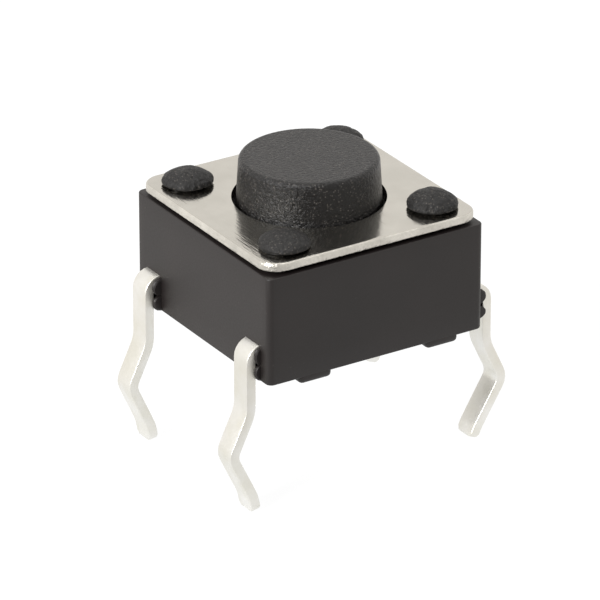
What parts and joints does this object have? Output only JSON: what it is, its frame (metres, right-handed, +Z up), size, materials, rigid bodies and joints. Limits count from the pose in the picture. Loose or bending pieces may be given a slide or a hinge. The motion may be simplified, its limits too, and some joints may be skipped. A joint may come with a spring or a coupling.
{
  "type": "tactile push switch",
  "caption": "Square board-mounted tactile push switch with a round black plunger, a staked metal cover plate and kinked solder leads.",
  "frame": {"origin": "middle of the four leads at the circuit board's face, under the four feet", "axes": "+Z up, out of the board, the way the plunger faces; +X across the two rows of leads; +Y along each row"},
  "size_m": [0.0079, 0.006, 0.0076],
  "materials": {
    "base_plastic": "moulded black, fine matte grain",
    "plunger_plastic": "moulded black, spark-eroded grain",
    "plate_steel": "tin plated, rolled satin",
    "terminal_metal": "tin plated, satin",
    "dome_steel": "bright rolled spring steel"
  },
  "bodies": {
    "base": {"base_housing": "base_plastic", "cover_plate": "plate_steel", "centre_terminal": "terminal_metal", "ring_terminal": "terminal_metal", "snap_dome": "dome_steel"},
    "button": {"plunger": "plunger_plastic"}
  },
  "joints": [
    {"name": "plunger_press", "type": "slide", "parent": "base", "child": "button", "axis": [0, 0, -1], "range_m": [0, 0.00025], "stiffness_N_per_m": 6400, "deforming": ["snap_dome"]}
  ]
}
